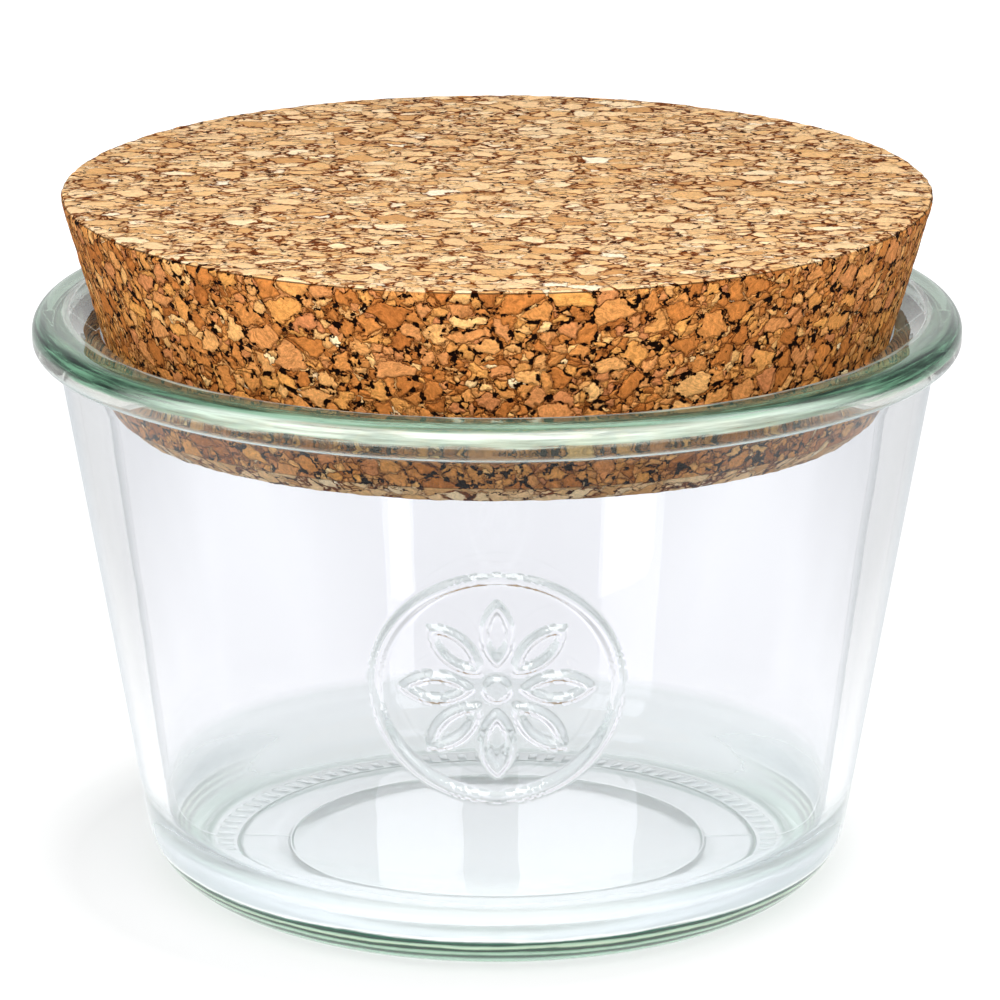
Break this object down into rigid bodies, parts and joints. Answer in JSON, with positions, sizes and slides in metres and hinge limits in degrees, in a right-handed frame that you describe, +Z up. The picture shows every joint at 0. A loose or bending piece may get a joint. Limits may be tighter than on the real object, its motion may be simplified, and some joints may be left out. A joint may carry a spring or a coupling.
{
  "type": "glass jar with cork lid",
  "caption": "Low tapered glass jar with a wide flanged mouth, closed by a thick tapered cork disc that lifts straight out",
  "frame": {"origin": "middle of the base, on the surface that the jar stands on", "axes": "+Z up along the jar's axis, -Y towards the raised medallion on the front, +X to the right as seen from the front"},
  "size_m": [0.1094, 0.109, 0.0832],
  "materials": {
    "clear_glass": "gloss",
    "pressed_cork": "matte"
  },
  "bodies": {
    "jar": {"glass_jar": "clear_glass"},
    "lid": {"cork_lid": "pressed_cork"}
  },
  "joints": [
    {"name": "lid_lift", "type": "slide", "parent": "jar", "child": "lid", "axis": [0, 0, 1], "range_m": [0, 0.06]}
  ]
}
